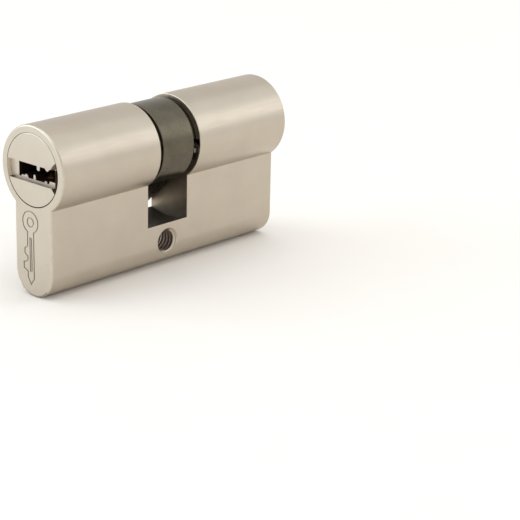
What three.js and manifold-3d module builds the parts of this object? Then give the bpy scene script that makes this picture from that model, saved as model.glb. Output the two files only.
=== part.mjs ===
// Double euro profile cylinder, keyed on both ends.
// Millimetres. X runs along the cylinder axis, the front keyhole face is at -X, Z is up, and the
// flange with the pin chambers points down. The origin is on the axis at mid-length, in the middle
// of the cam slot and over the fixing screw hole.
import * as THREE from 'three';
import { mergeVertices } from 'three/addons/utils/BufferGeometryUtils.js';
import Module from 'manifold-3d';

const wasm = await Module();
wasm.setup();

// ---------- driving dimensions ----------
// Outer profile
const HALF_LENGTH = 30;
const BODY_RADIUS = 8.5;
const FLANGE_HALF_WIDTH = 5;
const FLANGE_BOTTOM = -24.5;
const EDGE_BREAK = 0.35;
// Cam slot and fixing screw hole
const SLOT_HALF_WIDTH = 5.3;
const SLOT_FLOOR_RADIUS = 16.2;
const SCREW_Z = -19.2;
const SCREW_RADIUS = 2.1;
const SCREW_SINK_RADIUS = 2.7;
const SCREW_SINK_DEPTH = 0.6;
const OVERSHOOT = 1; // how far cutters run past what they cut
// Plug and its bore
const BORE_RADIUS = 6.5;
const PLUG_RADIUS = 6.46;
const COLLAR_RADIUS = 6.95;
const COLLAR_LENGTH = 2.1;
const COLLAR_BREAK = 0.15;
const COUNTERBORE_RADIUS = 7.05;
const COUNTERBORE_DEPTH = 2.2;
const NECK_RADIUS = 5.6;
const LAND_RADIUS = 6.1;
const LAND_END = 1.2;
// Key channel across the plug face, and the keyway behind it
const CHANNEL_TOP = 1.1;
const CHANNEL_BOTTOM = -2.4;
const CHANNEL_DEPTH = 0.95;
const KEYWAY_TOP = 0.75;
const KEYWAY_BOTTOM = -2.03;
const KEYWAY_END = 7;
const RELIEF_DEPTH = 2.6;
const RELIEF_RADIUS = 3.5;
const RELIEF_ROOT_RADIUS = 1.9;
const RELIEF_Y = -8.1;
const RELIEF_Z = -0.5;
// Pins
const PIN_FIRST = 25;
const PIN_PITCH = 4;
const PIN_COUNT = 5;
const CHAMBER_RADIUS = 1.4;
const PIN_WELL_TOP = -0.4;
const PIN_RADIUS = 1.35;
const PIN_BREAK = 0.12;
const TIP_CONE_HEIGHT = 0.75;
const TIP_FLAT_RADIUS = 0.45;
const SHEAR_KEY_SIDE = -6.3;
const SHEAR_DRIVER_SIDE = -6.52;
const KEY_PIN_TIPS = [-1.2, -1.5, -1.05, -1.4, -1.3];
const DRIVER_LENGTH = 4.4;
const SPOOL_HEAD = 0.8;
const SPOOL_FOOT = 1.4;
const SPOOL_TAPER = 0.2;
const SPOOL_WAIST_DEPTH = 0.3;
const SPRING_RADIUS = 1.0;
const WIRE_RADIUS = 0.17;
const SPRING_TURNS = 5;
const SPRING_STEPS_PER_TURN = 8;
const CAP_RADIUS = 1.38;
const CAP_TOP = -21.4;
const CAP_BOTTOM = -24.25;
// Cam
const CAM_HALF_WIDTH = 4.1;
const CAM_BORE_RADIUS = 6.15;
const CAM_RING_RADIUS = 8.0;
const CAM_EDGE_BREAK = 0.2;
const NOSE_HALF_WIDTH = 5.0;
const NOSE_RADIUS = 15.2;
const NOSE_CLEAR_RADIUS = 8.3;
const NOSE_ROOT_RADIUS = 4.2;
const NOSE_ROOT_HALF_HEIGHT = 5.4;
const NOSE_SHOULDER_HALF_HEIGHT = 4.2;
const NOSE_TIP_HALF_ANGLE = 0.17;
const NOSE_EDGE_BREAK = 0.3;
const NOSE_TILT_DEGREES = -60;
// Clutch
const BAR_HALF_WIDTH = 1.2;
const BAR_REACH = 6.6;
const BAR_START = -2.9;
const BAR_END = -0.5;
const CLUTCH_GAP = 0.1;
const PUSH_ROD_RADIUS = 1.5;
const PUSH_ROD_BORE = 1.6;
const PUSH_ROD_START = -5.6;
const PUSH_ROD_END = 3.8;
// Retaining clip
const CLIP_RADIUS = 7.2;
const CLIP_CLEARANCE = 0.02;
const CLIP_THICKNESS = 0.8;
const CLIP_OFFSET = 0.2;
const CLIP_OPENING_BOTTOM = -3.4;
const CLIP_OPENING_TOP = -1.6;
const CLIP_LUG_TOP = -0.7;
const CLIP_LUG_REACH = 7.75;
const CLIP_LUG_ROOT = 6.2;
// Facets round a full turn
const ROUND_SIDES = 48;
const TOP_ARC_SIDES = 44;
const FOOT_ARC_SIDES = 20;
const NOSE_TIP_SIDES = 6;
const SLOT_SIDES = 96;
const CHAMBER_SIDES = 16;
const ROD_SIDES = 24;

// ---------- helpers ----------
function solidOf(geometry) {
  const plain = geometry.clone();
  plain.deleteAttribute('normal');
  plain.deleteAttribute('uv');
  const merged = mergeVertices(plain, 1e-5);
  const mesh = new wasm.Mesh({
    numProp: 3,
    vertProperties: new Float32Array(merged.attributes.position.array),
    triVerts: new Uint32Array(merged.index.array),
  });
  return new wasm.Manifold(mesh);
}

function geometryOf(solid) {
  const mesh = solid.getMesh();
  const geometry = new THREE.BufferGeometry();
  geometry.setAttribute('position', new THREE.BufferAttribute(mesh.vertProperties, 3));
  geometry.setIndex(new THREE.BufferAttribute(mesh.triVerts, 1));
  geometry.computeVertexNormals();
  return geometry;
}

function cut(solid, tools) {
  return tools.reduce((rest, tool) => rest.subtract(tool), solid);
}

function shapeOf(points) {
  return new THREE.Shape(points.map(([y, z]) => new THREE.Vector2(y, z)));
}

// A shape drawn in (Y, Z) and extruded along X from startX to endX.
function alongX(shape, startX, endX, bevel = 0) {
  const geometry = new THREE.ExtrudeGeometry(shape, {
    depth: endX - startX - 2 * bevel,
    steps: 1,
    bevelEnabled: bevel > 0,
    bevelThickness: bevel,
    bevelSize: bevel,
    bevelOffset: -bevel,
    bevelSegments: 1,
  });
  const axes = new THREE.Matrix4().makeBasis(
    new THREE.Vector3(0, 1, 0),
    new THREE.Vector3(0, 0, 1),
    new THREE.Vector3(1, 0, 0),
  );
  geometry.applyMatrix4(axes);
  geometry.translate(startX + bevel, 0, 0);
  return solidOf(geometry);
}

function boxBetween(low, high) {
  const size = high.map((value, i) => value - low[i]);
  const geometry = new THREE.BoxGeometry(...size);
  geometry.translate(...high.map((value, i) => (value + low[i]) / 2));
  return solidOf(geometry);
}

function rodAlongX(radius, startX, endX, sides = ROUND_SIDES) {
  const geometry = new THREE.CylinderGeometry(radius, radius, endX - startX, sides);
  geometry.rotateZ(-Math.PI / 2);
  geometry.translate((startX + endX) / 2, 0, 0);
  return solidOf(geometry);
}

function rodAlongZ(radius, x, bottom, top) {
  const geometry = new THREE.CylinderGeometry(radius, radius, top - bottom, CHAMBER_SIDES);
  geometry.rotateX(Math.PI / 2);
  geometry.translate(x, 0, (bottom + top) / 2);
  return solidOf(geometry);
}

// A turned piece whose profile is [radius, position along X].
function turnedAlongX(profile) {
  const points = profile.map(([r, x]) => new THREE.Vector2(r, x));
  const geometry = new THREE.LatheGeometry(points, ROUND_SIDES);
  geometry.rotateZ(-Math.PI / 2);
  return solidOf(geometry);
}

// A turned piece standing on Z whose profile is [radius, height].
function turnedAlongZ(profile, x) {
  const points = profile.map(([r, z]) => new THREE.Vector2(r, z));
  const geometry = new THREE.LatheGeometry(points, CHAMBER_SIDES);
  geometry.rotateX(Math.PI / 2);
  geometry.translate(x, 0, 0);
  return solidOf(geometry);
}

function arcPoints(radius, centreZ, startAngle, endAngle, count) {
  return Array.from({ length: count + 1 }, (_, i) => {
    const angle = startAngle + ((endAngle - startAngle) * i) / count;
    return [radius * Math.cos(angle), centreZ + radius * Math.sin(angle)];
  });
}

function pinPositions() {
  return Array.from({ length: PIN_COUNT }, (_, i) => -PIN_FIRST + i * PIN_PITCH);
}

const FINISHES = {
  nickel: { color: 0xc4baa8, roughness: 0.38, metalness: 0.9 },
  plugNickel: { color: 0xd0c8b8, roughness: 0.34, metalness: 0.9 },
  sintered: { color: 0x5b5249, roughness: 0.55, metalness: 0.8 },
  springSteel: { color: 0x77716a, roughness: 0.35, metalness: 0.95 },
  brass: { color: 0xb5975a, roughness: 0.35, metalness: 0.95 },
  steel: { color: 0x9a958e, roughness: 0.4, metalness: 0.95 },
};

function part(name, solid, finish) {
  const mesh = new THREE.Mesh(geometryOf(solid), new THREE.MeshStandardMaterial(FINISHES[finish]));
  mesh.name = name;
  return mesh;
}

// ---------- body ----------
function bodyOutline() {
  const junctionAngle = Math.acos(FLANGE_HALF_WIDTH / BODY_RADIUS);
  const roundTop = arcPoints(BODY_RADIUS, 0, -junctionAngle, Math.PI + junctionAngle, TOP_ARC_SIDES);
  const footCentre = FLANGE_BOTTOM + FLANGE_HALF_WIDTH;
  const foot = arcPoints(FLANGE_HALF_WIDTH, footCentre, -Math.PI, 0, FOOT_ARC_SIDES);
  return shapeOf([...roundTop, ...foot]);
}

// Everything that is cut from one half, drawn on the front (-X) side.
function frontHalfCutters() {
  const face = -HALF_LENGTH;
  const chambers = pinPositions().map((x) => (
    rodAlongZ(CHAMBER_RADIUS, x, FLANGE_BOTTOM - OVERSHOOT, -BORE_RADIUS / 2)
  ));
  return [
    rodAlongX(COUNTERBORE_RADIUS, face - OVERSHOOT, face + COUNTERBORE_DEPTH),
    ...chambers,
  ];
}

function screwHole() {
  const straight = new THREE.CylinderGeometry(
    SCREW_RADIUS, SCREW_RADIUS, 2 * (FLANGE_HALF_WIDTH + OVERSHOOT), ROD_SIDES);
  straight.translate(0, 0, SCREW_Z);
  const cone = new THREE.CylinderGeometry(
    SCREW_SINK_RADIUS + OVERSHOOT, SCREW_SINK_RADIUS - SCREW_SINK_DEPTH,
    SCREW_SINK_DEPTH + OVERSHOOT, ROD_SIDES);
  cone.translate(0, FLANGE_HALF_WIDTH + (OVERSHOOT - SCREW_SINK_DEPTH) / 2, 0);
  const farCone = cone.clone().rotateX(Math.PI);
  cone.translate(0, 0, SCREW_Z);
  farCone.translate(0, 0, SCREW_Z);
  return [straight, cone, farCone].map(solidOf);
}

function cylinderBody() {
  const blank = alongX(bodyOutline(), -HALF_LENGTH, HALF_LENGTH, EDGE_BREAK);
  const bore = rodAlongX(BORE_RADIUS, -HALF_LENGTH - OVERSHOOT, HALF_LENGTH + OVERSHOOT);
  const slot = rodAlongX(SLOT_FLOOR_RADIUS, -SLOT_HALF_WIDTH, SLOT_HALF_WIDTH, SLOT_SIDES);
  const front = frontHalfCutters();
  const rear = front.map((tool) => tool.rotate([0, 0, 180]));
  return cut(blank, [bore, slot, ...front, ...rear, ...screwHole()]);
}

// ---------- plug ----------
// Ward profile of the keyway, looking at the keyhole: [distance to the right, height].
function keywayOutline() {
  const floor = [
    [-4.7, KEYWAY_BOTTOM], [-4.05, KEYWAY_BOTTOM], [-4.0, -1.72], [-3.05, -1.72],
    [-2.95, -1.47], [-2.5, -1.47], [-2.1, KEYWAY_BOTTOM], [-0.75, KEYWAY_BOTTOM],
    [-0.72, -1.3], [-0.6, -1.12], [-0.3, -1.12], [-0.18, -1.3], [-0.12, KEYWAY_BOTTOM],
    [2.3, KEYWAY_BOTTOM], [2.4, -1.7], [2.95, -1.7], [3.05, KEYWAY_BOTTOM],
    [3.6, KEYWAY_BOTTOM], [3.75, -1.5], [5.2, -1.5],
  ];
  const ceiling = [
    [5.2, 0.95], [3.9, 0.9], [3.5, 0.5], [3.2, 0.22], [2.8, 0.27], [2.3, KEYWAY_TOP], [1.05, KEYWAY_TOP],
    [1.0, 0.05], [0.85, -0.13], [0.4, -0.13], [0.25, 0.05], [0.2, KEYWAY_TOP], [-4.7, KEYWAY_TOP],
  ];
  return shapeOf([...floor, ...ceiling].map(([right, z]) => [-right, z]));
}

// A round scoop opens the channel toward the rim on the key's shoulder side.
function shoulderRelief() {
  const face = -HALF_LENGTH;
  const scoop = turnedAlongX([
    [0, face - OVERSHOOT],
    [RELIEF_RADIUS, face - OVERSHOOT],
    [RELIEF_RADIUS, face],
    [RELIEF_ROOT_RADIUS, face + RELIEF_DEPTH],
    [0, face + RELIEF_DEPTH],
  ]);
  return scoop.translate([0, RELIEF_Y, RELIEF_Z]);
}

function clutchSlot() {
  const half = BAR_HALF_WIDTH + CLUTCH_GAP;
  return boxBetween(
    [BAR_START - CLUTCH_GAP, -half, -BORE_RADIUS - OVERSHOOT],
    [0, half, BORE_RADIUS + OVERSHOOT],
  );
}

function plug() {
  const face = -HALF_LENGTH;
  const neckEnd = -SLOT_HALF_WIDTH + CLIP_OFFSET + CLIP_THICKNESS + CLIP_CLEARANCE;
  const blank = turnedAlongX([
    [0, face],
    [COLLAR_RADIUS - COLLAR_BREAK, face],
    [COLLAR_RADIUS, face + COLLAR_BREAK],
    [COLLAR_RADIUS, face + COLLAR_LENGTH],
    [PLUG_RADIUS, face + COLLAR_LENGTH],
    [PLUG_RADIUS, -SLOT_HALF_WIDTH],
    [NECK_RADIUS, -SLOT_HALF_WIDTH],
    [NECK_RADIUS, neckEnd],
    [LAND_RADIUS, neckEnd],
    [LAND_RADIUS, -LAND_END],
    [0, -LAND_END],
  ]);
  const channel = boxBetween(
    [face - OVERSHOOT, -COLLAR_RADIUS - OVERSHOOT, CHANNEL_BOTTOM],
    [face + CHANNEL_DEPTH, COLLAR_RADIUS + OVERSHOOT, CHANNEL_TOP],
  );
  const keyway = alongX(keywayOutline(), face - OVERSHOOT, -KEYWAY_END);
  const wells = pinPositions().map((x) => (
    rodAlongZ(CHAMBER_RADIUS, x, -BORE_RADIUS - OVERSHOOT, PIN_WELL_TOP)
  ));
  const pushBore = rodAlongX(PUSH_ROD_BORE, -KEYWAY_END - OVERSHOOT, 0, ROD_SIDES);
  return cut(blank, [channel, keyway, shoulderRelief(), ...wells, pushBore, clutchSlot()]);
}

// ---------- pins, springs and caps ----------
function keyPin(x, tip) {
  return turnedAlongZ([
    [0, SHEAR_KEY_SIDE],
    [PIN_RADIUS - PIN_BREAK, SHEAR_KEY_SIDE],
    [PIN_RADIUS, SHEAR_KEY_SIDE + PIN_BREAK],
    [PIN_RADIUS, tip - TIP_CONE_HEIGHT],
    [TIP_FLAT_RADIUS, tip],
    [0, tip],
  ], x);
}

function driverPin(x, spooled) {
  const bottom = SHEAR_DRIVER_SIDE - DRIVER_LENGTH;
  const waistRadius = PIN_RADIUS - SPOOL_WAIST_DEPTH;
  const waist = spooled ? [
    [PIN_RADIUS, bottom + SPOOL_FOOT],
    [waistRadius, bottom + SPOOL_FOOT + SPOOL_TAPER],
    [waistRadius, SHEAR_DRIVER_SIDE - SPOOL_HEAD - SPOOL_TAPER],
    [PIN_RADIUS, SHEAR_DRIVER_SIDE - SPOOL_HEAD],
  ] : [];
  return turnedAlongZ([
    [0, bottom],
    [PIN_RADIUS - PIN_BREAK, bottom],
    [PIN_RADIUS, bottom + PIN_BREAK],
    ...waist,
    [PIN_RADIUS, SHEAR_DRIVER_SIDE - PIN_BREAK],
    [PIN_RADIUS - PIN_BREAK, SHEAR_DRIVER_SIDE],
    [0, SHEAR_DRIVER_SIDE],
  ], x);
}

class Helix extends THREE.Curve {
  constructor(x, bottom, top) {
    super();
    this.x = x;
    this.bottom = bottom;
    this.top = top;
  }

  getPoint(t, target = new THREE.Vector3()) {
    const angle = t * SPRING_TURNS * 2 * Math.PI;
    return target.set(
      this.x + SPRING_RADIUS * Math.cos(angle),
      SPRING_RADIUS * Math.sin(angle),
      this.bottom + (this.top - this.bottom) * t,
    );
  }
}

function pinSpring(x) {
  const margin = 1.5 * WIRE_RADIUS;
  const path = new Helix(x, CAP_TOP + margin, SHEAR_DRIVER_SIDE - DRIVER_LENGTH - margin);
  const wire = WIRE_RADIUS;
  const section = shapeOf([[wire, 0], [0, wire], [-wire, 0], [0, -wire]]);
  const geometry = new THREE.ExtrudeGeometry(section, {
    steps: SPRING_TURNS * SPRING_STEPS_PER_TURN,
    extrudePath: path,
    bevelEnabled: false,
  });
  return solidOf(geometry);
}

function chamberCap(x) {
  return rodAlongZ(CAP_RADIUS, x, CAP_BOTTOM, CAP_TOP);
}

// ---------- retaining clip ----------
// An open ring in the plug's neck, with one lug beside its opening.
function retainingClip() {
  const start = -SLOT_HALF_WIDTH + CLIP_OFFSET;
  const end = start + CLIP_THICKNESS;
  const disc = rodAlongX(CLIP_RADIUS, start, end);
  const hole = rodAlongX(NECK_RADIUS + CLIP_CLEARANCE, start - OVERSHOOT, end + OVERSHOOT);
  const opening = boxBetween(
    [start - OVERSHOOT, 0, CLIP_OPENING_BOTTOM],
    [end + OVERSHOOT, CLIP_RADIUS + OVERSHOOT, CLIP_OPENING_TOP],
  );
  const lug = boxBetween([start, CLIP_LUG_ROOT, CLIP_OPENING_TOP], [end, CLIP_LUG_REACH, CLIP_LUG_TOP]);
  return disc.subtract(hole).subtract(opening).add(lug);
}

// ---------- cam ----------
function noseOutline(rootRadius, rootHalfHeight) {
  const tip = arcPoints(NOSE_RADIUS, 0, -NOSE_TIP_HALF_ANGLE, NOSE_TIP_HALF_ANGLE, NOSE_TIP_SIDES);
  return shapeOf([[rootRadius, -rootHalfHeight], ...tip, [rootRadius, rootHalfHeight]]);
}

function cam() {
  const half = CAM_HALF_WIDTH;
  const ring = turnedAlongX([
    [0, -half],
    [CAM_RING_RADIUS - CAM_EDGE_BREAK, -half],
    [CAM_RING_RADIUS, -half + CAM_EDGE_BREAK],
    [CAM_RING_RADIUS, half - CAM_EDGE_BREAK],
    [CAM_RING_RADIUS - CAM_EDGE_BREAK, half],
    [0, half],
  ]);
  const bore = rodAlongX(CAM_BORE_RADIUS, -half - OVERSHOOT, half + OVERSHOOT);
  const root = alongX(noseOutline(NOSE_ROOT_RADIUS, NOSE_ROOT_HALF_HEIGHT), -half, half);
  const nose = alongX(
    noseOutline(NOSE_CLEAR_RADIUS, NOSE_SHOULDER_HALF_HEIGHT),
    -NOSE_HALF_WIDTH, NOSE_HALF_WIDTH, NOSE_EDGE_BREAK);
  const groove = boxBetween(
    [-half - OVERSHOOT, -BAR_HALF_WIDTH - CLUTCH_GAP, -BAR_REACH - CLUTCH_GAP],
    [half + OVERSHOOT, BAR_HALF_WIDTH + CLUTCH_GAP, BAR_REACH + CLUTCH_GAP],
  );
  const tilted = root.add(nose).rotate([NOSE_TILT_DEGREES, 0, 0]);
  return ring.add(tilted).subtract(bore).subtract(groove);
}

// ---------- clutch ----------
function clutch() {
  const bar = boxBetween([BAR_START, -BAR_HALF_WIDTH, -BAR_REACH], [BAR_END, BAR_HALF_WIDTH, BAR_REACH]);
  const rod = rodAlongX(PUSH_ROD_RADIUS, PUSH_ROD_START, PUSH_ROD_END, ROD_SIDES);
  const reach = rodAlongX(BAR_REACH, BAR_START - OVERSHOOT, BAR_END + OVERSHOOT);
  return bar.intersect(reach).add(rod);
}

// ---------- assembly ----------
function lockHalf(side) {
  const half = new THREE.Group();
  half.add(part(`${side}_plug`, plug(), 'plugNickel'));
  half.add(part(`${side}_retaining_clip`, retainingClip(), 'springSteel'));
  pinPositions().forEach((x, i) => {
    const number = i + 1;
    half.add(part(`${side}_key_pin_${number}`, keyPin(x, KEY_PIN_TIPS[i]), 'brass'));
    half.add(part(`${side}_driver_pin_${number}`, driverPin(x, i % 2 === 1), 'steel'));
    half.add(part(`${side}_pin_spring_${number}`, pinSpring(x), 'springSteel'));
    half.add(part(`${side}_chamber_cap_${number}`, chamberCap(x), 'brass'));
  });
  return half;
}

const group = new THREE.Group();
group.add(part('cylinder_body', cylinderBody(), 'nickel'));
group.add(lockHalf('front'));
const rearHalf = lockHalf('rear');
rearHalf.rotation.z = Math.PI;
group.add(rearHalf);
group.add(part('cam', cam(), 'sintered'));
group.add(part('clutch', clutch(), 'steel'));

export default group;
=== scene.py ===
"""Looks for a double euro profile lock cylinder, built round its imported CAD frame.

Metres, in the shared frame: X along the axis with the front keyhole face at -X, Z up.
Shapes are drawn in millimetres and scaled once, when a mesh is finished.
"""

from math import acos, cos, pi, radians, sin

import bmesh
import bpy
from mathutils import Euler, Matrix, Vector


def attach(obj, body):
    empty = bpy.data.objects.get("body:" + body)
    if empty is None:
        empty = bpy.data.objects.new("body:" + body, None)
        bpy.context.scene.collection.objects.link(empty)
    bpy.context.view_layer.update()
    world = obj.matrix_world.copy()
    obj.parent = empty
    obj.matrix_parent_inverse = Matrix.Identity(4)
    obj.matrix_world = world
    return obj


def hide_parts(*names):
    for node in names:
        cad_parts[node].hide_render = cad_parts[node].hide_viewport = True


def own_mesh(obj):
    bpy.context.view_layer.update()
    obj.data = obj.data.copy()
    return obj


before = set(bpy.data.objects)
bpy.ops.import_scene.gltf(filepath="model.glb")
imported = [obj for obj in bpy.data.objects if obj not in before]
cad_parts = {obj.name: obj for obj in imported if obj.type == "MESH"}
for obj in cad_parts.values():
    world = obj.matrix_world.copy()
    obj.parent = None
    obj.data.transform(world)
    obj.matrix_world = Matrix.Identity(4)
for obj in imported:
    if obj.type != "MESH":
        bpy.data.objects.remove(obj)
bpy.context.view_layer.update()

MM = 0.001

# ---------- dimensions in millimetres ----------
HALF_LENGTH = 30.0
BODY_RADIUS = 8.4965  # a hair under 8.5, so that it stays within the CAD's facets
FLANGE_HALF_WIDTH = 5.0
FLANGE_BOTTOM = -24.5
EDGE_ROUND = 0.35
BORE_RADIUS = 6.5
COUNTERBORE_RADIUS = 7.05
COUNTERBORE_DEPTH = 2.2
SLOT_HALF_WIDTH = 5.3
SLOT_FLOOR_RADIUS = 16.2
SCREW_Z = -19.2
THREAD_MINOR = 2.1
THREAD_MAJOR = 2.5
THREAD_PITCH = 0.8
SCREW_SINK_RADIUS = 2.7
SCREW_SINK_DEPTH = 0.62
CHAMBER_RADIUS = 1.4
PIN_XS = [-25.0 + 4.0 * i for i in range(5)]

PLUG_RADIUS = 6.46
COLLAR_RADIUS = 6.95
COLLAR_ROUND = 0.15
COLLAR_LENGTH = 2.1
COLLAR_PLAY = Vector((0, 0.06, 0.035))  # the collar rests to one side of its counterbore
NECK_RADIUS = 5.6
LAND_RADIUS = 6.1
LAND_END = 1.2
CHANNEL_TOP = 1.1
CHANNEL_BOTTOM = -2.4
CHANNEL_DEPTH = 0.95
KEYWAY_TOP = 0.75
KEYWAY_BOTTOM = -2.03
KEYWAY_END = 7.0
KEYWAY_RIGHT = 5.2
RELIEF_DEPTH = 2.6
RELIEF_RADIUS = 3.5
RELIEF_ROOT_RADIUS = 1.9
RELIEF_Y = -8.1
RELIEF_Z = -0.5
PIN_WELL_TOP = -0.4
PUSH_ROD_BORE = 1.6

PIN_RADIUS = 1.35
PIN_BREAK = 0.12
SHEAR_KEY_SIDE = -6.3
SHEAR_DRIVER_SIDE = -6.52
KEY_PIN_TIPS = [-1.2, -1.5, -1.05, -1.4, -1.3]
DRIVER_BOTTOM = SHEAR_DRIVER_SIDE - 4.4
CAP_TOP = -21.4
CAP_BOTTOM = -24.25
CAP_RADIUS = 1.38
SPRING_RADIUS = 1.0
WIRE_RADIUS = 0.17
SPRING_TURNS = 5

CAM_HALF_WIDTH = 4.1
CAM_BORE_RADIUS = 6.15
CAM_RING_RADIUS = 8.0
CAM_ROUND = 0.2
NOSE_HALF_WIDTH = 5.0
NOSE_RADIUS = 15.2
NOSE_TILT = radians(-60)
BAR_HALF_WIDTH = 1.2
BAR_REACH = 6.6
BAR_START = -2.9
BAR_END = -0.5
CLUTCH_GAP = 0.1
PUSH_ROD_RADIUS = 1.5
PUSH_ROD_START = -5.6
PUSH_ROD_END = 3.8
PUSH_ROD_BREAK = 0.3
CLIP_RADIUS = 7.2
CLIP_THICKNESS = 0.8
CLIP_OFFSET = 0.2
CLIP_CLEARANCE = 0.02

OVERSHOOT = 1.0  # how far a cutter runs past what it cuts
TOUCH = 1e-3  # how close two positions are when they count as the same
SHARP_ANGLE = radians(32)
SOFTENED_ANGLE = radians(25)


# ---------- mesh helpers ----------
def raw_object(name, bm):
    bmesh.ops.recalc_face_normals(bm, faces=bm.faces)
    if bm.calc_volume(signed=True) < 0:
        bmesh.ops.reverse_faces(bm, faces=bm.faces)
    mesh = bpy.data.meshes.new(name)
    bm.to_mesh(mesh)
    bm.free()
    piece = bpy.data.objects.new(name, mesh)
    bpy.context.scene.collection.objects.link(piece)
    return piece


def loft(name, sections, closed=False):
    """A skin over rings of points, capped at both ends unless it closes on itself."""
    bm = bmesh.new()
    rings = [[bm.verts.new(p) for p in ring] for ring in sections]
    count = len(rings[0])
    pairs = list(zip(rings, rings[1:] + rings[:1])) if closed else list(zip(rings, rings[1:]))
    for ring, following in pairs:
        for i in range(count):
            j = (i + 1) % count
            bm.faces.new((ring[i], ring[j], following[j], following[i]))
    if not closed:
        bm.faces.new(list(reversed(rings[0])))
        bm.faces.new(rings[-1])
    return raw_object(name, bm)


def turned(name, profile, sides, axis="X", at=0.0):
    """A solid of revolution: profile is [radius, position], from axis to axis, ends at radius 0."""
    bm = bmesh.new()

    def place(radius, along, angle):
        u, v = radius * cos(angle), radius * sin(angle)
        return (along, u, v) if axis == "X" else (at + u, v, along)

    angles = [2 * pi * i / sides for i in range(sides)]
    rings = []
    for radius, along in profile:
        if radius == 0:
            rings.append([bm.verts.new(place(0, along, 0))])
        else:
            rings.append([bm.verts.new(place(radius, along, a)) for a in angles])
    for ring, following in zip(rings, rings[1:]):
        for i in range(sides):
            j = (i + 1) % sides
            corners = [ring[i % len(ring)], ring[j % len(ring)],
                       following[j % len(following)], following[i % len(following)]]
            bm.faces.new(list(dict.fromkeys(corners)))
    return raw_object(name, bm)


def rod(start, end, radius, sides=96, axis="X", at=0.0):
    return turned("cutter", [(0, start), (radius, start), (radius, end), (0, end)], sides, axis, at)


def prism(name, outline, start, end):
    """An outline in (y, z) pushed along X."""
    return loft(name, [[(x, y, z) for y, z in outline] for x in (start, end)])


def block(low, high, name="cutter"):
    outline = [(low[1], low[2]), (high[1], low[2]), (high[1], high[2]), (low[1], high[2])]
    return prism(name, outline, low[0], high[0])


def fused(pieces):
    """Several separate shapes as one object."""
    bm = bmesh.new()
    for piece in pieces:
        bm.from_mesh(piece.data)
        bpy.data.objects.remove(piece)
    return raw_object("cutter", bm)


def evaluated(piece):
    bpy.context.view_layer.update()
    graph = bpy.context.evaluated_depsgraph_get()
    return bpy.data.meshes.new_from_object(piece.evaluated_get(graph))


def settle(piece):
    """Applies the modifiers."""
    mesh = evaluated(piece)
    piece.modifiers.clear()
    piece.data = mesh


def combine(piece, tools, operation="DIFFERENCE"):
    for tool in tools:
        step = piece.modifiers.new("cut", "BOOLEAN")
        step.operation = operation
        step.solver = "EXACT"
        step.object = tool
        settle(piece)
        bpy.data.objects.remove(tool)
    return piece


def soften(piece, width, chosen, segments=2):
    """Rounds the sharp edges that chosen(start, end) accepts."""
    bm = bmesh.new()
    bm.from_mesh(piece.data)
    weight = bm.edges.layers.float.new("bevel_weight_edge")
    for edge in bm.edges:
        if len(edge.link_faces) != 2 or edge.calc_face_angle(0) < SOFTENED_ANGLE:
            continue
        if chosen(*(v.co for v in edge.verts)):
            edge[weight] = 1.0
    bm.to_mesh(piece.data)
    bm.free()
    step = piece.modifiers.new("soften", "BEVEL")
    step.limit_method = "WEIGHT"
    step.width = width
    step.segments = segments
    step.use_clamp_overlap = False
    settle(piece)
    return piece


def split_across(piece, y):
    """Splits the faces that cross the plane y, so that a colour, such as painted shade, can end there."""
    bm = bmesh.new()
    bm.from_mesh(piece.data)
    everything = bm.verts[:] + bm.edges[:] + bm.faces[:]
    bmesh.ops.bisect_plane(bm, geom=everything, plane_co=(0, y, 0), plane_no=(0, 1, 0))
    bm.to_mesh(piece.data)
    bm.free()


def polish(piece, wear=None):
    """Scales to metres, marks the faces where the metal is rubbed, and shades smooth between true edges."""
    mesh = piece.data
    mesh.transform(Matrix.Scale(MM, 4))
    if wear:
        layer = mesh.attributes.new("wear", "FLOAT", "FACE")
        layer.data.foreach_set("value", [wear(p.center / MM, p.normal) for p in mesh.polygons])
    for face in mesh.polygons:
        face.use_smooth = True
    mesh.set_sharp_from_angle(angle=SHARP_ANGLE)
    step = piece.modifiers.new("normals", "WEIGHTED_NORMAL")
    step.keep_sharp = True
    return piece


def arc(radius, centre, start, end, count):
    return [(centre[0] + radius * cos(start + (end - start) * i / count),
             centre[1] + radius * sin(start + (end - start) * i / count)) for i in range(count + 1)]


def about_z(piece):
    """Turns a front piece round to the rear."""
    piece.data.transform(Matrix.Rotation(pi, 4, "Z"))
    return piece


# ---------- body ----------
def body_outline(inset):
    radius = BODY_RADIUS - inset
    half = FLANGE_HALF_WIDTH - inset
    junction = acos(half / radius)
    top = arc(radius, (0, 0), -junction, pi + junction, 180)
    foot = arc(half, (0, FLANGE_BOTTOM + FLANGE_HALF_WIDTH), -pi, 0, 72)
    return top + foot


def body_blank():
    steps = 5
    turns = [pi / 2 * i / steps for i in range(steps + 1)]
    inward = [(HALF_LENGTH - EDGE_ROUND * (1 - sin(a)), EDGE_ROUND * (1 - cos(a))) for a in turns]
    ends = [(-x, inset) for x, inset in reversed(inward)] + inward
    return loft("cylinder_body_shell", [[(x, y, z) for y, z in body_outline(inset)] for x, inset in ends])


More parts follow.
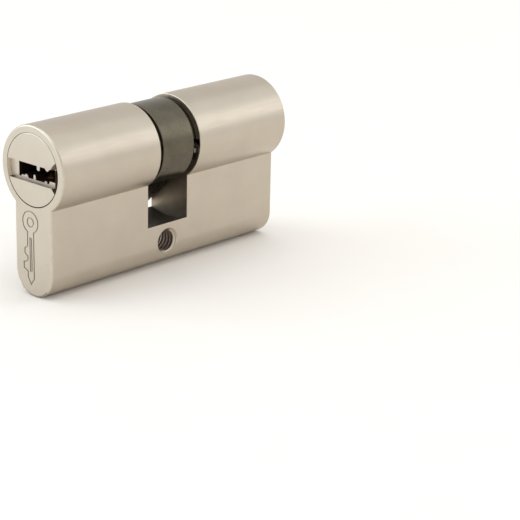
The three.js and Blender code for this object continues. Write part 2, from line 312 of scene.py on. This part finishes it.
def tap():
    """A cutter shaped like a tap: a rod with a helical thread, long enough to pass right through."""
    sides = 64
    shape = [(0.0, THREAD_MINOR), (0.3, THREAD_MINOR), (0.58, THREAD_MAJOR), (0.72, THREAD_MAJOR)]
    count = len(shape)
    turns = int(2 * FLANGE_HALF_WIDTH / THREAD_PITCH) + 5
    start = -THREAD_PITCH * turns / 2
    last = count * turns
    bm = bmesh.new()
    columns = []
    for i in range(sides):
        angle = 2 * pi * i / sides
        column = []
        for k in range(last + 1):
            along, radius = shape[k % count]
            y = start + THREAD_PITCH * (k // count + along + i / sides)
            column.append(bm.verts.new((radius * cos(angle), y, SCREW_Z + radius * sin(angle))))
        columns.append(column)
    for i, column in enumerate(columns):
        wrap = count if i == sides - 1 else 0
        following = columns[(i + 1) % sides]
        for k in range(last - wrap):
            bm.faces.new((column[k], column[k + 1], following[k + 1 + wrap], following[k + wrap]))
    first = [column[0] for column in columns] + list(reversed(columns[0][1:count + 1]))
    final = [column[last] for column in columns] + list(reversed(columns[-1][last - count:last]))
    for loop, y in ((first, start - THREAD_PITCH), (final, start + THREAD_PITCH * (turns + 2))):
        hub = bm.verts.new((0, y, SCREW_Z))
        for here, after in zip(loop, loop[1:] + loop[:1]):
            bm.faces.new((here, after, hub))
    return raw_object("cutter", bm)


def screw_sinks():
    skin = FLANGE_HALF_WIDTH
    root = skin - SCREW_SINK_DEPTH
    cone = turned("cutter", [
        (0, root), (SCREW_SINK_RADIUS - SCREW_SINK_DEPTH, root), (SCREW_SINK_RADIUS, skin),
        (SCREW_SINK_RADIUS + OVERSHOOT, skin + OVERSHOOT), (0, skin + OVERSHOOT),
    ], 80)
    back = cone.copy()
    back.data = cone.data.copy()
    bpy.context.scene.collection.objects.link(back)
    back.data.transform(Matrix.Rotation(pi, 4, "Z"))
    for piece in (cone, back):
        piece.data.transform(Matrix.Translation((0, 0, SCREW_Z)) @ Matrix.Rotation(-pi / 2, 4, "Z"))
    return [cone, back]


def groove(outline, width, depth):
    """A shallow closed groove that follows an outline in (y, z) on the front face."""
    count = len(outline)
    sides = {1: [], -1: []}
    for i, point in enumerate(outline):
        here = Vector(point)
        before = (here - Vector(outline[i - 1])).normalized()
        after = (Vector(outline[(i + 1) % count]) - here).normalized()
        across = (before + after).normalized().orthogonal()
        reach = min(width / 2 / max(abs(across.dot(before.orthogonal())), 0.5), width)
        for side in sides:
            sides[side].append(here + across * reach * side)
    face = -HALF_LENGTH
    rings = []
    for i in range(count):
        a, b = sides[1][i], sides[-1][i]
        rings.append([(face - 0.3, a.x, a.y), (face - 0.3, b.x, b.y),
                      (face + depth, b.x, b.y), (face + depth, a.x, a.y)])
    return loft("cutter", rings, closed=True)


def key_sign():
    """A plain key drawn in outline, where makers put their mark."""
    middle, top, tip = 0.75, -8.0, -22.2
    bow = 2.1
    stem = 0.85
    hole_radius = 0.85
    line_width, line_depth = 0.28, 0.1
    bow_centre = (middle, top - bow)
    gap = acos(stem / bow)
    head = arc(bow, bow_centre, -gap, pi + gap, 40)
    left, right = middle - stem, middle + stem
    teeth = [(left, tip + 1.2), (middle, tip), (right, tip + 1.2), (right, tip + 2.4),
             (right + 1.1, tip + 2.9), (right + 1.1, tip + 4.0), (right, tip + 4.5),
             (right, tip + 5.3), (right + 0.8, tip + 5.8), (right + 0.8, tip + 6.8), (right, tip + 7.3)]
    hole = arc(hole_radius, bow_centre, 0, 2 * pi, 28)[:-1]
    fuller = [(middle - 0.25, top - 5.2), (middle - 0.25, tip + 2.6),
              (middle + 0.2, tip + 2.6), (middle + 0.2, top - 5.2)]
    return [groove(outline, line_width, line_depth) for outline in (head + teeth, hole, fuller)]


def cylinder_body():
    shell = body_blank()
    bore = rod(-HALF_LENGTH - OVERSHOOT, HALF_LENGTH + OVERSHOOT, BORE_RADIUS, 128)
    combine(shell, [fused([bore, tap()])])
    slot = rod(-SLOT_HALF_WIDTH, SLOT_HALF_WIDTH, SLOT_FLOOR_RADIUS, 256)
    mouths = [rod(HALF_LENGTH - COUNTERBORE_DEPTH, HALF_LENGTH + OVERSHOOT, COUNTERBORE_RADIUS, 144)
              for _ in range(2)]
    about_z(mouths[1])
    chambers = [rod(FLANGE_BOTTOM - OVERSHOOT, -BORE_RADIUS / 2, CHAMBER_RADIUS, 40, "Z", side * x)
                for side in (1, -1) for x in PIN_XS]
    combine(shell, [fused([slot, *mouths, *chambers, *screw_sinks()])])

    def rim(a, b):
        on_wall = all(abs(abs(v.x) - SLOT_HALF_WIDTH) < TOUCH for v in (a, b))
        on_skin = all(abs(abs(v.y) - FLANGE_HALF_WIDTH) < TOUCH or
                      abs(Vector((v.y, v.z)).length - BODY_RADIUS) < 0.02 for v in (a, b))
        on_floor = all(abs(v.x) < SLOT_HALF_WIDTH + TOUCH and abs(abs(v.y) - FLANGE_HALF_WIDTH) < TOUCH
                       and -15.8 < v.z < -15.0 for v in (a, b))
        return (on_wall and on_skin) or on_floor

    soften(shell, 0.12, rim)

    def mouth_rim(a, b):
        on_face = all(abs(abs(v.x) - HALF_LENGTH) < TOUCH for v in (a, b))
        return on_face and all(abs(Vector((v.y, v.z)).length - COUNTERBORE_RADIUS) < 0.02 for v in (a, b))

    soften(shell, 0.1, mouth_rim)
    combine(shell, [fused(key_sign())])

    def wear(centre, normal):
        end = abs(centre.x) > HALF_LENGTH - EDGE_ROUND and abs(normal.x) < 0.99
        lip = abs(abs(centre.x) - SLOT_HALF_WIDTH) < 0.12 and abs(normal.x) < 0.97
        return 1.0 if end or lip else 0.0

    polish(shell, wear)
    return shell


# ---------- plug ----------
def keyway_outline():
    floor = [
        (-4.7, KEYWAY_BOTTOM), (-4.05, KEYWAY_BOTTOM), (-4.0, -1.72), (-3.05, -1.72),
        (-2.95, -1.47), (-2.5, -1.47), (-2.1, KEYWAY_BOTTOM), (-0.75, KEYWAY_BOTTOM),
        (-0.72, -1.3), (-0.6, -1.12), (-0.3, -1.12), (-0.18, -1.3), (-0.12, KEYWAY_BOTTOM),
        (2.3, KEYWAY_BOTTOM), (2.4, -1.7), (2.95, -1.7), (3.05, KEYWAY_BOTTOM),
        (3.6, KEYWAY_BOTTOM), (3.75, -1.5), (KEYWAY_RIGHT, -1.5),
    ]
    ceiling = [
        (KEYWAY_RIGHT, 0.95), (3.9, 0.9), (3.5, 0.5), (3.2, 0.22), (2.8, 0.27), (2.3, KEYWAY_TOP),
        (1.05, KEYWAY_TOP),
        (1.0, 0.05), (0.85, -0.13), (0.4, -0.13), (0.25, 0.05), (0.2, KEYWAY_TOP), (-4.7, KEYWAY_TOP),
    ]
    return [(-right, z) for right, z in floor + ceiling]


def plug(name):
    face = -HALF_LENGTH
    neck_end = -SLOT_HALF_WIDTH + CLIP_OFFSET + CLIP_THICKNESS + CLIP_CLEARANCE
    rounded = COLLAR_ROUND
    steps = 5
    lip = [(COLLAR_RADIUS - rounded + rounded * sin(pi / 2 * i / steps),
            face + rounded - rounded * cos(pi / 2 * i / steps)) for i in range(steps + 1)]
    core = turned(name, [
        (0, face), *lip,
        (COLLAR_RADIUS, face + COLLAR_LENGTH), (PLUG_RADIUS, face + COLLAR_LENGTH),
        (PLUG_RADIUS, -SLOT_HALF_WIDTH), (NECK_RADIUS, -SLOT_HALF_WIDTH),
        (NECK_RADIUS, neck_end), (LAND_RADIUS, neck_end), (LAND_RADIUS, -LAND_END), (0, -LAND_END),
    ], 144)
    for vertex in core.data.vertices:
        if Vector((vertex.co.y, vertex.co.z)).length > PLUG_RADIUS + 0.01:
            vertex.co += COLLAR_PLAY
    channel = block((face - OVERSHOOT, -COLLAR_RADIUS - OVERSHOOT, CHANNEL_BOTTOM),
                    (face + CHANNEL_DEPTH, COLLAR_RADIUS + OVERSHOOT, CHANNEL_TOP))
    keyway = prism("cutter", keyway_outline(), face - OVERSHOOT, -KEYWAY_END)
    relief = turned("cutter", [
        (0, face - OVERSHOOT), (RELIEF_RADIUS, face - OVERSHOOT), (RELIEF_RADIUS, face),
        (RELIEF_ROOT_RADIUS, face + RELIEF_DEPTH), (0, face + RELIEF_DEPTH),
    ], 96)
    relief.data.transform(Matrix.Translation((0, RELIEF_Y, RELIEF_Z)))
    wells = fused([rod(-BORE_RADIUS - OVERSHOOT, PIN_WELL_TOP, CHAMBER_RADIUS, 40, "Z", x) for x in PIN_XS])
    push_bore = rod(-KEYWAY_END - OVERSHOOT, 0, PUSH_ROD_BORE, 48)
    half = BAR_HALF_WIDTH + CLUTCH_GAP
    slot = block((BAR_START - CLUTCH_GAP, -half, -8), (0, half, 8))
    combine(core, [channel, keyway, relief, wells, push_bore, slot])
    split_across(core, -KEYWAY_RIGHT)

    def lips(a, b):
        on_face = all(abs(v.x - face) < TOUCH for v in (a, b))
        return on_face and any(abs(v.z - CHANNEL_BOTTOM) > TOUCH for v in (a, b))

    soften(core, 0.05, lips)
    return core


# ---------- pins, springs and caps ----------
def key_pin(name, x, tip):
    nose = arc(0.3, (0.3, tip - 0.3), pi / 5, pi / 2, 3)
    profile = [(0, SHEAR_KEY_SIDE), (PIN_RADIUS - PIN_BREAK, SHEAR_KEY_SIDE),
               (PIN_RADIUS, SHEAR_KEY_SIDE + PIN_BREAK), (PIN_RADIUS, tip - 0.75),
               *[(r, z) for r, z in nose if r > 0.3], (0, tip)]
    return turned(name, profile, 40, "Z", x)


def driver_pin(name, x, spooled):
    top = SHEAR_DRIVER_SIDE
    waist = [(PIN_RADIUS, DRIVER_BOTTOM + 1.4), (PIN_RADIUS - 0.3, DRIVER_BOTTOM + 1.6),
             (PIN_RADIUS - 0.3, top - 1.0), (PIN_RADIUS, top - 0.8)] if spooled else []
    profile = [(0, DRIVER_BOTTOM), (PIN_RADIUS - PIN_BREAK, DRIVER_BOTTOM),
               (PIN_RADIUS, DRIVER_BOTTOM + PIN_BREAK), *waist,
               (PIN_RADIUS, top - PIN_BREAK), (PIN_RADIUS - PIN_BREAK, top), (0, top)]
    return turned(name, profile, 40, "Z", x)


def pin_spring(name, x):
    """A round wire, coiled, with its last half turn at each end closed up."""
    sides, steps = 8, 24
    bottom, top = CAP_TOP + WIRE_RADIUS + 0.03, DRIVER_BOTTOM - WIRE_RADIUS - 0.03
    count = SPRING_TURNS * steps
    rings = []
    for i in range(count + 1):
        t = i / count
        height = bottom + (top - bottom) * min(max((t - 0.08) / 0.84, 0), 1)
        angle = 2 * pi * SPRING_TURNS * t
        out = Vector((cos(angle), sin(angle), 0))
        centre = Vector((x, 0, height)) + out * SPRING_RADIUS
        rings.append([centre + WIRE_RADIUS * (out * cos(a) + Vector((0, 0, 1)) * sin(a))
                      for a in [2 * pi * k / sides for k in range(sides)]])
    return loft(name, rings)


def chamber_cap(name, x):
    """A pressed plug with a shallow punch mark in the middle."""
    profile = [(0, CAP_BOTTOM + 0.25), (0.35, CAP_BOTTOM + 0.12), (0.5, CAP_BOTTOM),
               (CAP_RADIUS - 0.15, CAP_BOTTOM), (CAP_RADIUS, CAP_BOTTOM + 0.15), (CAP_RADIUS, CAP_TOP - 0.15),
               (CAP_RADIUS - 0.15, CAP_TOP), (0, CAP_TOP)]
    return turned(name, profile, 40, "Z", x)


# ---------- clip, cam and clutch ----------
def retaining_clip(name):
    start = -SLOT_HALF_WIDTH + CLIP_OFFSET
    end = start + CLIP_THICKNESS
    ring = rod(start, end, CLIP_RADIUS, 128)
    ring.name = name
    combine(ring, [rod(start - OVERSHOOT, end + OVERSHOOT, NECK_RADIUS + CLIP_CLEARANCE, 96),
                   block((start - OVERSHOOT, 0, -3.4), (end + OVERSHOOT, CLIP_RADIUS + OVERSHOOT, -1.6))])
    combine(ring, [block((start, 6.2, -1.6), (end, 7.75, -0.7))], "UNION")
    return soften(ring, 0.06, lambda a, b: True)


def nose_outline(root, root_half):
    return [(root, -root_half), *arc(NOSE_RADIUS, (0, 0), -0.17, 0.17, 10), (root, root_half)]


def cam():
    half = CAM_HALF_WIDTH
    steps = 4
    turns = [pi / 2 * i / steps for i in range(steps + 1)]
    edge = [(CAM_RING_RADIUS - CAM_ROUND * (1 - sin(a)), -half + CAM_ROUND * (1 - cos(a))) for a in turns]
    far_edge = [(r, -x) for r, x in reversed(edge)]
    ring = turned("cam_ring_and_nose", [(0, -half), *edge, *far_edge, (0, half)], 160)
    root = prism("cutter", nose_outline(4.2, 5.4), -half, half)
    nose = prism("cutter", nose_outline(8.3, 4.2), -NOSE_HALF_WIDTH, NOSE_HALF_WIDTH)
    soften(nose, 0.3, lambda a, b: True, 3)
    for piece in (root, nose):
        piece.data.transform(Matrix.Rotation(NOSE_TILT, 4, "X"))
    combine(ring, [root, nose], "UNION")
    bore = rod(-half - OVERSHOOT, half + OVERSHOOT, CAM_BORE_RADIUS, 128)
    across = BAR_HALF_WIDTH + CLUTCH_GAP
    groove_box = block((-half - OVERSHOOT, -across, -BAR_REACH - CLUTCH_GAP),
                       (half + OVERSHOOT, across, BAR_REACH + CLUTCH_GAP))
    combine(ring, [bore, groove_box])
    return ring


def clutch():
    bar = block((BAR_START, -BAR_HALF_WIDTH, -BAR_REACH), (BAR_END, BAR_HALF_WIDTH, BAR_REACH),
                "clutch_bar_and_rod")
    combine(bar, [rod(BAR_START - OVERSHOOT, BAR_END + OVERSHOOT, BAR_REACH, 96)], "INTERSECT")
    push = turned("cutter", [
        (0, PUSH_ROD_START), (PUSH_ROD_RADIUS - PUSH_ROD_BREAK, PUSH_ROD_START),
        (PUSH_ROD_RADIUS, PUSH_ROD_START + PUSH_ROD_BREAK), (PUSH_ROD_RADIUS, PUSH_ROD_END - PUSH_ROD_BREAK),
        (PUSH_ROD_RADIUS - PUSH_ROD_BREAK, PUSH_ROD_END), (0, PUSH_ROD_END),
    ], 48)
    return combine(bar, [push], "UNION")


# ---------- materials ----------
class Nodes:
    """A small helper for wiring one material."""

    def __init__(self, name):
        self.material = bpy.data.materials.new(name)
        self.material.use_nodes = True
        self.tree = self.material.node_tree
        self.shader = self.tree.nodes["Principled BSDF"]
        self.place = self.add("ShaderNodeTexCoord").outputs["Object"]

    def add(self, kind, inputs=None, **settings):
        node = self.tree.nodes.new(kind)
        for key, value in settings.items():
            setattr(node, key, value)
        for key, value in (inputs or {}).items():
            if hasattr(value, "is_linked"):
                self.tree.links.new(value, node.inputs[key])
            else:
                node.inputs[key].default_value = value
        return node

    def stretched(self, scale):
        return self.add("ShaderNodeMapping", {"Vector": self.place, "Scale": scale}).outputs[0]

    def noise(self, vector, scale, detail=3.0, rough=0.55):
        return self.add("ShaderNodeTexNoise", {"Vector": vector, "Scale": scale, "Detail": detail,
                                               "Roughness": rough}).outputs["Fac"]

    def ranged(self, value, low, high, start=0.0, end=1.0):
        return self.add("ShaderNodeMapRange", {"Value": value, "From Min": start, "From Max": end,
                                               "To Min": low, "To Max": high}).outputs["Result"]

    def maths(self, operation, a, b):
        return self.add("ShaderNodeMath", {0: a, 1: b}, operation=operation).outputs[0]

    def mixed(self, factor, a, b):
        node = self.add("ShaderNodeMix", data_type="RGBA", blend_type="MIX")
        for socket, value in ((node.inputs[0], factor), (node.inputs[6], a), (node.inputs[7], b)):
            if hasattr(value, "is_linked"):
                self.tree.links.new(value, socket)
            else:
                socket.default_value = value
        return node.outputs[2]

    def wire(self, socket, value):
        self.tree.links.new(value, self.shader.inputs[socket])

    def bump(self, height, strength, distance):
        node = self.add("ShaderNodeBump", {"Height": height, "Strength": strength, "Distance": distance})
        self.wire("Normal", node.outputs[0])


def metal(name, colour, dark, roughness, grain, grain_scale, bump, wear_colour=None):
    """Satin metal: stretched grain in roughness and relief, slow colour drift, brighter edges where the metal
    is rubbed.
    """
    spread = 0.05
    n = Nodes(name)
    n.shader.inputs["Metallic"].default_value = 1.0
    streak = n.noise(n.stretched(grain), grain_scale, 4.0, 0.6)
    fine = n.noise(n.place, 9000, 2.0, 0.5)
    patch = n.noise(n.place, 180, 3.0, 0.5)
    drift = n.ranged(patch, 0.0, 1.0, 0.35, 0.65)
    tone = n.mixed(drift, (*dark, 1), (*colour, 1))
    if wear_colour:
        recoloured = n.add("ShaderNodeAttribute", attribute_name="wear").outputs["Fac"]
        rubbed = n.maths("MULTIPLY", recoloured, n.ranged(n.noise(n.place, 900, 3.0), 0.35, 1.0, 0.3, 0.7))
        tone = n.mixed(rubbed, tone, (*wear_colour, 1))
    n.wire("Base Color", tone)
    n.wire("Roughness", n.ranged(streak, roughness - spread, roughness + spread, 0.3, 0.7))
    n.bump(n.maths("ADD", streak, n.maths("MULTIPLY", fine, 0.6)), bump, 0.00002)
    return n.material


def sintered(name):
    """Pressed and steam-blued powder steel: matt, dark, slightly blotchy, with open pores."""
    n = Nodes(name)
    n.shader.inputs["Metallic"].default_value = 1.0
    blotch = n.noise(n.place, 260, 4.0, 0.6)
    pores = n.add("ShaderNodeTexVoronoi", {"Vector": n.place, "Scale": 4200.0}).outputs["Distance"]
    pore = n.ranged(pores, 0.0, 1.0, 0.05, 0.3)
    grit = n.noise(n.place, 6000, 3.0, 0.6)
    tone = n.mixed(n.ranged(blotch, 0.0, 1.0, 0.3, 0.7), (0.112, 0.098, 0.07, 1), (0.142, 0.126, 0.092, 1))
    n.wire("Base Color", n.mixed(pore, (0.05, 0.042, 0.033, 1), tone))
    n.wire("Roughness", n.ranged(grit, 0.24, 0.34, 0.3, 0.7))
    n.bump(n.maths("ADD", pore, n.maths("MULTIPLY", grit, 0.7)), 0.35, 0.00003)
    return n.material


def build_materials():
    """Each row: colour, darker colour, roughness, grain stretch, grain scale, relief."""
    along = (0.06, 1.0, 1.0)
    faced = (1, 1, 0.3)
    lathed = (1, 1, 0.1)
    milled = (1, 0.2, 1)
    even = (1, 1, 1)
    rows = {
        # painted light: a lighter copy of the nickel for the plug and the body's end faces, which catch more
        # light
        "plug_nickel": ((0.585, 0.53, 0.445), (0.56, 0.505, 0.425), 0.32, faced, 2200, 0.1),
        # painted shade: a dark brown for the channel walls, the keyway, the plug's hidden side and the thread
        # grooves, where shade falls
        "channel_shade": ((0.23, 0.168, 0.13), (0.16, 0.115, 0.088), 0.4, (0.2, 1, 1), 3000, 0.2),
        # partly painted shade: a darker cut colour for the slot walls and the bore, darkened further for the
        # shade in these hollows
        "recess_cut_and_shade": ((0.37, 0.305, 0.225), (0.27, 0.222, 0.165), 0.4, milled, 3000, 0.2),
        # painted shade: near black for the slot floor, the plug's scoop and the strip beside the keyway
        "deep_shade": ((0.062, 0.044, 0.028), (0.04, 0.028, 0.017), 0.45, milled, 3000, 0.2),
        # painted highlight: a bright nickel for the counterbore walls and the thread crests
        "bore_highlight": ((0.88, 0.82, 0.73), (0.8, 0.74, 0.66), 0.3, faced, 2600, 0.1),
        "engraving": ((0.42, 0.365, 0.305), (0.36, 0.31, 0.26), 0.42, even, 3000, 0.2),
        "spring_steel": ((0.2, 0.19, 0.17), (0.16, 0.15, 0.135), 0.28, even, 3000, 0.08),
        "pin_brass": ((0.36, 0.24, 0.12), (0.28, 0.18, 0.09), 0.28, lathed, 3000, 0.08),
        "pin_steel": ((0.56, 0.54, 0.51), (0.48, 0.46, 0.43), 0.25, lathed, 3000, 0.08),
        "cap_nickel": ((0.58, 0.53, 0.44), (0.52, 0.47, 0.39), 0.3, faced, 2600, 0.1),
    }
    materials = {
        "satin_nickel": metal("satin nickel", (0.555, 0.49, 0.405), (0.53, 0.467, 0.385), 0.36, along, 2600,
                              0.12, wear_colour=(0.62, 0.56, 0.47)),
        "sintered_steel": sintered("sintered steel"),
    }
    for key, row in rows.items():
        materials[key] = metal(key.replace("_", " "), *row)
    return materials


# ---------- putting it together ----------
def dress(piece, material, body, node):
    piece.data.materials.clear()
    piece.data.materials.append(material)
    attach(piece, body)
    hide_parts(node)
    return piece


def colour_body_faces(shell, materials):
    """Gives the machined areas of the body their colours: the engraving its own, the slot walls and bore a
    darker cut colour with painted shade, the slot floor and thread grooves painted shade, and the counterbore
    wall, thread crests and end faces painted light.
    """
    body_colours = ["recess_cut_and_shade", "engraving", "deep_shade", "plug_nickel", "bore_highlight", "channel_shade"]
    for body_colour in body_colours:
        shell.data.materials.append(materials[body_colour])
    number = {body_colour: i + 1 for i, body_colour in enumerate(body_colours)}
    for face in shell.data.polygons:
        c, n = face.center / MM, face.normal
        distance = Vector((c.y, c.z)).length
        from_hole = Vector((c.x, c.z - SCREW_Z))
        radial = abs(n.x) < 0.5
        on_flank = abs(n.y) > 0.9 and abs(abs(c.y) - FLANGE_HALF_WIDTH) < 0.02
        threaded = (from_hole.length < SCREW_SINK_RADIUS and n.x * from_hole.x + n.z * from_hole.y < 0
                    and abs(c.y) < FLANGE_HALF_WIDTH - SCREW_SINK_DEPTH)
        if threaded:
            in_groove = from_hole.length > THREAD_MINOR + 0.03
            # painted shade in the thread grooves, painted highlight on the crests
            face.material_index = number["channel_shade" if in_groove else "bore_highlight"]
        elif on_flank:
            continue
        elif abs(abs(c.x) - SLOT_HALF_WIDTH) < 0.02 and not radial:
            # the slot walls: darker cut colour with painted shade
            face.material_index = number["recess_cut_and_shade"]
        elif abs(c.x) < SLOT_HALF_WIDTH and distance < SLOT_FLOOR_RADIUS + 0.05:
            # painted shade: the slot floor is near black
            face.material_index = number["deep_shade"]
        elif distance < BORE_RADIUS + 0.05 and radial:
            # the bore: darker cut colour with painted shade
            face.material_index = number["recess_cut_and_shade"]
        elif abs(distance - COUNTERBORE_RADIUS) < 0.06 and radial:
            # painted highlight on the counterbore wall
            face.material_index = number["bore_highlight"]
        elif abs(n.x) > 0.99 and abs(c.x) > HALF_LENGTH - 0.01:
            # painted light: the end faces take the lighter nickel copy
            face.material_index = number["plug_nickel"]
        elif -HALF_LENGTH < c.x < -HALF_LENGTH + 0.2 and c.z < -COUNTERBORE_RADIUS and abs(c.y) < 3.5:
            face.material_index = number["engraving"]


def channel_faces(core, materials):
    """Painted shade for the channel's walls, the keyway and the plug's side, darkest in the scoop and beside
    the keyway.
    """
    # slot 1 carries the dark brown painted shade, slot 2 the near black painted shade
    recoloured, darkest = 1, 2
    core.data.materials.append(materials["channel_shade"])
    core.data.materials.append(materials["deep_shade"])
    for face in core.data.polygons:
        c = face.center / MM
        depth = max(HALF_LENGTH - abs(core.data.vertices[i].co.x) / MM for i in face.vertices)
        aside = c.y if c.x > 0 else -c.y
        beside_keyway = aside > KEYWAY_RIGHT and depth > CHANNEL_DEPTH - 0.1 and c.z < KEYWAY_TOP
        in_scoop = aside > -RELIEF_Y - RELIEF_RADIUS and c.z < KEYWAY_TOP
        if depth > CHANNEL_DEPTH + 0.1 or (depth > 0.06 and abs(face.normal.x) < 0.7):
            # painted shade: dark brown on the channel walls, the keyway and the plug's hidden side, near
            # black in the scoop
            face.material_index = darkest if in_scoop else recoloured
        elif beside_keyway:
            # painted shade: near black on the strip beside the keyway
            face.material_index = darkest


def build_object(materials):
    shell = dress(cylinder_body(), materials["satin_nickel"], "housing", "cylinder_body")
    colour_body_faces(shell, materials)
    for side in ("front", "rear"):
        turn = about_z if side == "rear" else (lambda piece: piece)
        core = polish(turn(plug(f"{side}_plug_core")))
        dress(core, materials["plug_nickel"], f"{side}_core", f"{side}_plug")
        channel_faces(core, materials)
        clip = polish(turn(retaining_clip(f"{side}_clip_ring")))
        dress(clip, materials["spring_steel"], f"{side}_core", f"{side}_retaining_clip")
        for i, x in enumerate(PIN_XS):
            number = i + 1
            name = f"{side}_key_pin_{number}"
            pin = polish(turn(key_pin(f"{side}_key_pin_turned_{number}", x, KEY_PIN_TIPS[i])))
            dress(pin, materials["pin_brass"], name, name)
            name = f"{side}_driver_pin_{number}"
            driver = polish(turn(driver_pin(f"{side}_driver_pin_turned_{number}", x, i % 2 == 1)))
            dress(driver, materials["pin_steel"], name, name)
            spring = polish(turn(pin_spring(f"{side}_pin_spring_wound_{number}", x)))
            dress(spring, materials["spring_steel"], "housing", f"{side}_pin_spring_{number}")
            spring.modifiers.clear()
            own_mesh(spring)
            cap = polish(turn(chamber_cap(f"{side}_chamber_cap_pressed_{number}", x)))
            dress(cap, materials["cap_nickel"], "housing", f"{side}_chamber_cap_{number}")
    dress(polish(cam()), materials["sintered_steel"], "cam", "cam")
    dress(polish(clutch()), materials["pin_steel"], "clutch", "clutch")


# ---------- floor, light and camera ----------
def floor():
    bm = bmesh.new()
    bmesh.ops.create_grid(bm, x_segments=8, y_segments=8, size=3.0)
    plane = raw_object("studio_floor", bm)
    plane.location.z = FLANGE_BOTTOM * MM
    n = Nodes("pale floor")
    tone = n.mixed(n.noise(n.place, 60, 2.0), (0.89, 0.86, 0.82, 1), (0.91, 0.88, 0.84, 1))
    n.wire("Base Color", tone)
    n.shader.inputs["Roughness"].default_value = 0.7
    n.shader.inputs["Specular IOR Level"].default_value = 0.2
    plane.data.materials.append(n.material)


def softbox(name, azimuth, elevation, distance, size, power, tint=(1, 1, 1)):
    """A square area light, aimed at the object. Azimuth 0 is in front of the flank (-Y), 90 is +X."""
    data = bpy.data.lights.new(name, "AREA")
    data.shape = "SQUARE"
    data.size = size
    data.energy = power
    data.color = tint
    lamp = bpy.data.objects.new(name, data)
    a, e = radians(azimuth), radians(elevation)
    back = Vector((sin(a) * cos(e), -cos(a) * cos(e), sin(e)))
    lamp.location = back * distance
    lamp.rotation_euler = (-back).to_track_quat("-Z", "Y").to_euler()
    lamp.visible_camera = False
    bpy.context.scene.collection.objects.link(lamp)


def studio():
    world = bpy.data.worlds.new("studio")
    world.use_nodes = True
    background = world.node_tree.nodes["Background"]
    background.inputs["Color"].default_value = (1.0, 0.99, 0.975, 1)
    background.inputs["Strength"].default_value = 0.86
    bpy.context.scene.world = world
    softbox("key softbox", 62, 31, 0.9, 0.9, 0.7, (0.86, 1.0, 1.1))
    softbox("small softbox", 50, 24, 0.9, 0.42, 0.38)
    softbox("left softbox", -132, 12, 0.8, 0.8, 3.8, (0.84, 1.0, 1.14))
    softbox("top softbox", 0, 88, 1.0, 0.9, 2.6)
    bpy.context.scene.view_settings.view_transform = "Standard"


CAMERA_PLACE = (-0.24312, -0.24841, 0.09396)
CAMERA_AZIMUTH = -47.987
CAMERA_ELEVATION = 18.751
CAMERA_ROLL = 1.3123
CAMERA_LENS = 128.166


def camera():
    data = bpy.data.cameras.new("camera")
    data.lens = CAMERA_LENS
    data.sensor_width = 36.0
    data.clip_start = 0.01
    eye = bpy.data.objects.new("camera", data)
    eye.rotation_euler = (
        Euler((radians(90 - CAMERA_ELEVATION), 0, radians(CAMERA_AZIMUTH))).to_matrix()
        @ Matrix.Rotation(radians(CAMERA_ROLL), 3, "Z")
    ).to_euler()
    eye.location = CAMERA_PLACE
    bpy.context.scene.collection.objects.link(eye)
    bpy.context.scene.camera = eye


camera()
studio()
floor()
build_object(build_materials())
